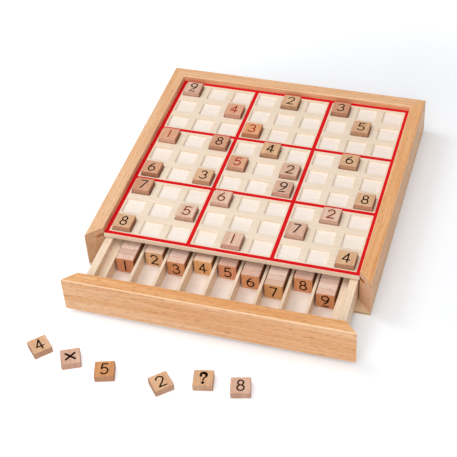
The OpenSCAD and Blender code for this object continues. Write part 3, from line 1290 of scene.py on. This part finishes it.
@dataclass
class PlayingBoard:
    """The pocketed board, with eased rims, and the lines painted on it."""

    effects: Effects
    rows: int = 9
    pocket: float = 17.0 * MM
    depth: float = 2.0 * MM
    corner: float = 1.0 * MM
    pitch: float = 23.6 * MM
    rim: float = 0.4 * MM
    edge: float = 0.4 * MM
    free_half: float = 107.9 * MM
    setback: float = 6.0 * MM

    def make_cell(self, top: float) -> bpy.types.Object:
        """Builds one cell: its land, the pocket's wall between two eases, and the floor.

        Args:
            top: The board's top.

        Returns:
            An object that holds the cell.
        """
        steps = ease_steps(self.rim)
        rings = [rounded_ring(self.pocket + 2 * inset, self.corner + inset, top - drop)
                 for inset, drop in steps]
        rings += [rounded_ring(self.pocket - 2 * inset, self.corner, top - self.depth + drop)
                  for inset, drop in reversed(steps)]
        shape = bmesh.new()
        loops = skin(shape, rings)
        flat_face(shape, loops[-1])
        half = self.pitch / 2
        corners = [shape.verts.new((x, y, top)) for x, y in
                   ((-half, -half), (half, -half), (half, half), (-half, half))]
        for i in range(4):
            start = i * CORNER_POINTS + CORNER_POINTS // 2
            run = [loops[0][(start + k) % len(loops[0])] for k in range(CORNER_POINTS + 1)]
            flat_face(shape, [corners[i], corners[(i + 1) % 4], *reversed(run)])
        return put("cell", finish_mesh(shape, "cell"))

    def outline(self, low: Vector, high: Vector, inset: float, z: float) -> Ring:
        """Places the border's corners; the tongues in the side grooves stop short of the free front edge.

        Args:
            low: The board's lowest corner.
            high: Its highest corner.
            inset: How far the corners lie in from the border.
            z: Their height.

        Returns:
            Eight corners, anticlockwise from the front left one.
        """
        free, neck = self.free_half, low.y + self.setback
        spots = [Vector((x, y, z)) for x, y in (
            (-free, low.y), (free, low.y), (free, neck), (high.x, neck),
            (high.x, high.y), (low.x, high.y), (low.x, neck), (-free, neck))]
        ring = []
        for i, spot in enumerate(spots):
            along = (spot - spots[i - 1]).normalized() + (spots[(i + 1) % len(spots)] - spot).normalized()
            ring.append(spot + inset * Vector((-along.y, along.x, 0.0)))
        return ring

    def make_border(self, low: Vector, high: Vector) -> bpy.types.Mesh:
        """Builds the board's border round the grid, its sides and its underside.

        Args:
            low: The board's lowest corner.
            high: Its highest corner.

        Returns:
            The mesh.
        """
        steps = ease_steps(self.edge)
        levels = [(inset, high.z - drop) for inset, drop in steps]
        levels += [(inset, low.z + drop) for inset, drop in reversed(steps)]
        shape = bmesh.new()
        loops = skin(shape, [self.outline(low, high, inset, z) for inset, z in levels])
        shape.faces.new(loops[-1])
        half = self.rows * self.pitch / 2
        marks = [-half + self.pitch * k for k in range(self.rows + 1)]
        spots = [[(m, -half) for m in marks], [(half, m) for m in marks],
                 [(-m, half) for m in marks], [(-half, -m) for m in marks]]
        corners = [shape.verts.new((*side[0], high.z)) for side in spots]
        top = loops[0]
        runs = (top[:2], top[1:5], top[4:6], [*top[5:], top[0]])
        for i, (side, run) in enumerate(zip(spots, runs)):
            inner = [shape.verts.new((x, y, high.z)) for x, y in side[1:-1]]
            flat_face(shape, [corners[i], *inner, corners[(i + 1) % 4], *reversed(run)])
        return finish_mesh(shape, "board_border")

    def build(self, nodes: dict[str, bpy.types.Object]) -> None:
        """Makes the board and dresses its lines.

        Args:
            nodes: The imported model's nodes.
        """
        low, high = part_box("playing_board")
        finish = BoardFinish().material(self.effects, high.z, self.depth)
        cell = self.make_cell(high.z)
        board = PocketTree().run(self.make_border(low, high), "pocketed_board", Cell=cell, Pitch=self.pitch,
                                 Count=self.rows, Material=finish)
        bpy.data.objects.remove(cell)
        shape = bmesh.new()
        shape.from_mesh(board.data)
        turn_outwards(shape)
        shape.to_mesh(board.data)
        shape.free()
        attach(board, "frame")
        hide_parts("playing_board")
        dress(nodes["grid_lines"], RED_LINES.material(self.effects))
        LOG.info("pocketed_board: %d pockets, %d faces", self.rows ** 2, len(board.data.polygons))


@dataclass
class Carcass:
    """The three rails and the drawer front, which close the square, the base panel and its brads."""

    effects: Effects
    rails: dict[str, tuple[Grain, TimberFinish]] = field(default_factory=lambda: {
        "left_rail": (Grain.Y, BEECH), "right_rail": (Grain.Y, GOLDEN_BEECH),
        "rear_rail": (Grain.X, BEECH), "drawer_front": (Grain.X, FRONT_BEECH)})

    def build(self, nodes: dict[str, bpy.types.Object]) -> None:
        """Dresses the carcass.

        Args:
            nodes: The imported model's nodes.
        """
        for cut, (name, (grain, finish)) in enumerate(self.rails.items(), start=1):
            dress(nodes[name], finish.material(self.effects, grain, cut))
        low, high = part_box("base_panel")
        dress(nodes["base_panel"], BASE_PLY.material(self.effects, low.z, high.z - low.z))
        dress(nodes["base_brads"], SteelFinish().material())


@dataclass
class Drawer:
    """The drawer's sides, back, floor and channels."""

    effects: Effects
    dividers: int = 8

    def build(self, nodes: dict[str, bpy.types.Object]) -> None:
        """Dresses the drawer.

        Args:
            nodes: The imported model's nodes.
        """
        lengthways = DRAWER_BEECH.material(self.effects, Grain.Y)
        strips = ["drawer_left_side", "drawer_right_side", "edge_strips"]
        strips += [f"divider_{i}" for i in range(1, self.dividers + 1)]
        for name in strips:
            dress(nodes[name], lengthways)
        dress(nodes["drawer_back"], DRAWER_BEECH.material(self.effects, Grain.X))
        low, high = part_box("drawer_floor")
        dress(nodes["drawer_floor"], FLOOR_PLY.material(self.effects, low.z, high.z - low.z))


@dataclass(frozen=True)
class Lamp:
    """A round soft lamp, with what it adds to a level white surface; azimuth 0 is the front."""

    name: str
    level: float
    azimuth: float
    elevation: float
    distance: float
    size: float


@dataclass
class Studio:
    """A white sweep, soft light all round with a key from the left and two fills, and the camera.

    The floor's lift to white, painted light, is a ramp over the distance from the shadow's side, in metres.
    """

    target: Vector = field(default_factory=lambda: Vector((-0.00837, -0.07945, 0.0305)))
    azimuth: float = 19.561
    elevation: float = 43.137
    roll: float = -4.266
    distance: float = 0.9979
    lens: float = 95.22
    dome: float = 0.36
    dome_colour: str = "FFFDFB"
    lamps: tuple[Lamp, ...] = (
        Lamp("key", 0.23, azimuth=-102.0, elevation=55.0, distance=1.3, size=0.6),
        Lamp("high_fill", 0.27, azimuth=0.0, elevation=78.0, distance=1.6, size=1.2),
        Lamp("low_fill", 0.165, azimuth=5.0, elevation=28.0, distance=1.6, size=1.2))
    floor_size: float = 12.0
    floor_drop: float = 0.05 * MM
    floor_colour: str = "F2F5F9"
    floor_lift: Ramp = Ramp(0.15, 0.5, 0.15, 0.62)
    shadow_side: Vector = field(default_factory=lambda: Vector((0.10, 0.04, 0.0)))

    def direction(self, azimuth: float, elevation: float) -> Vector:
        """Returns the way from the object to a viewer or lamp, azimuth 0 being the front."""
        a, e = math.radians(azimuth), math.radians(elevation)
        return Vector((math.sin(a) * math.cos(e), -math.cos(a) * math.cos(e), math.sin(e)))

    def camera(self) -> None:
        """Sets the camera."""
        back = self.direction(self.azimuth, self.elevation)
        right = (-back).cross(Vector((0, 0, 1))).normalized()
        up = right.cross(-back)
        roll = math.radians(self.roll)
        across = math.cos(roll) * right + math.sin(roll) * up
        over = -math.sin(roll) * right + math.cos(roll) * up
        camera = put("camera", bpy.data.cameras.new("camera"))
        camera.data.lens = self.lens
        turn = Matrix((across, over, back)).transposed().to_4x4()
        camera.matrix_world = Matrix.Translation(self.target + back * self.distance) @ turn
        bpy.context.scene.camera = camera

    def light(self, lamp: Lamp) -> None:
        """Sets a lamp, turned to the object.

        Args:
            lamp: Where it stands and how bright it is.
        """
        way = self.direction(lamp.azimuth, lamp.elevation)
        data = bpy.data.lights.new(lamp.name, "AREA")
        data.shape = "DISK"
        data.size = lamp.size
        data.energy = lamp.level * math.pi ** 2 * lamp.distance ** 2 / way.z
        turn = way.to_track_quat("Z", "Y").to_matrix().to_4x4()
        put(lamp.name, data).matrix_world = Matrix.Translation(way * lamp.distance) @ turn

    def sight(self, graph: Graph) -> bpy.types.NodeSocket:
        """Tells the rays that see the background from those that only light the scene.

        Args:
            graph: The tree to add to.

        Returns:
            1 for rays from the camera, by gloss or through glass, and otherwise 0.
        """
        path = graph.add("ShaderNodeLightPath").outputs
        seen = graph.math("MAXIMUM", path["Is Camera Ray"], path["Is Glossy Ray"])
        return graph.math("MAXIMUM", seen, path["Is Transmission Ray"])

    def world(self) -> None:
        """Lights the scene all round; the background itself is seen as white."""
        world = bpy.data.worlds.new("dome")
        world.use_nodes = True
        bpy.context.scene.world = world
        graph = Graph(world.node_tree)
        graph.tree.nodes.clear()
        tint = colour(self.dome_colour)
        light = graph.add("ShaderNodeBackground", {"Color": tint, "Strength": self.dome})
        white = graph.add("ShaderNodeBackground", {"Color": WHITE, "Strength": 1.0})
        both = graph.add("ShaderNodeMixShader", {0: self.sight(graph), 1: light, 2: white})
        graph.add("ShaderNodeOutputWorld", {"Surface": both})

    def floor(self) -> None:
        """Lays the floor, which glows to white where it is seen: painted light that grows away from the
        shadow's side.
        """
        half = self.floor_size / 2
        mesh = bpy.data.meshes.new("floor")
        corners = [(-half, -half), (half, -half), (half, half), (-half, half)]
        mesh.from_pydata([(x, y, -self.floor_drop) for x, y in corners], [], [(0, 1, 2, 3)])
        floor = put("floor", mesh)
        material = bpy.data.materials.new("white_sweep")
        material.use_nodes = True
        graph = Graph(material.node_tree)
        graph.tree.nodes.clear()
        paper = graph.add("ShaderNodeBsdfDiffuse", {"Color": colour(self.floor_colour)})
        place = graph.add("ShaderNodeTexCoord").outputs["Object"]
        reach = graph.add("ShaderNodeVectorMath", {0: place, 1: self.shadow_side}, operation="DISTANCE")
        # Painted light: the floor glows more the farther it lies from the shadow's side, which washes out the
        # shadows in front
        paler = graph.climb(reach.outputs["Value"], self.floor_lift)
        lift = graph.math("MULTIPLY", self.sight(graph), paler)
        glow = graph.add("ShaderNodeEmission", {"Color": WHITE, "Strength": lift})
        both = graph.add("ShaderNodeAddShader", {0: paper, 1: glow})
        graph.add("ShaderNodeOutputMaterial", {"Surface": both})
        mesh.materials.append(material)

    def build(self) -> None:
        """Sets the whole studio."""
        bpy.context.scene.view_settings.view_transform = "Standard"
        self.camera()
        for lamp in self.lamps:
            self.light(lamp)
        self.world()
        self.floor()


def main() -> None:
    """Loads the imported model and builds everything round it."""
    logging.basicConfig(level=logging.INFO, format="%(name)s: %(message)s")
    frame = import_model()
    nodes = frame["nodes"]
    Studio().build()
    effects = Effects()
    Carcass(effects).build(nodes)
    PlayingBoard(effects).build(nodes)
    Drawer(effects).build(nodes)
    low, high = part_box("board_tile_r1c1")
    tiles = TileSet(TileKit(effects, width=high.x - low.x, thickness=high.z - low.z))
    tiles.in_pockets()
    tiles.on_table()
    tiles.in_drawer()


if __name__ == "__main__":
    main()
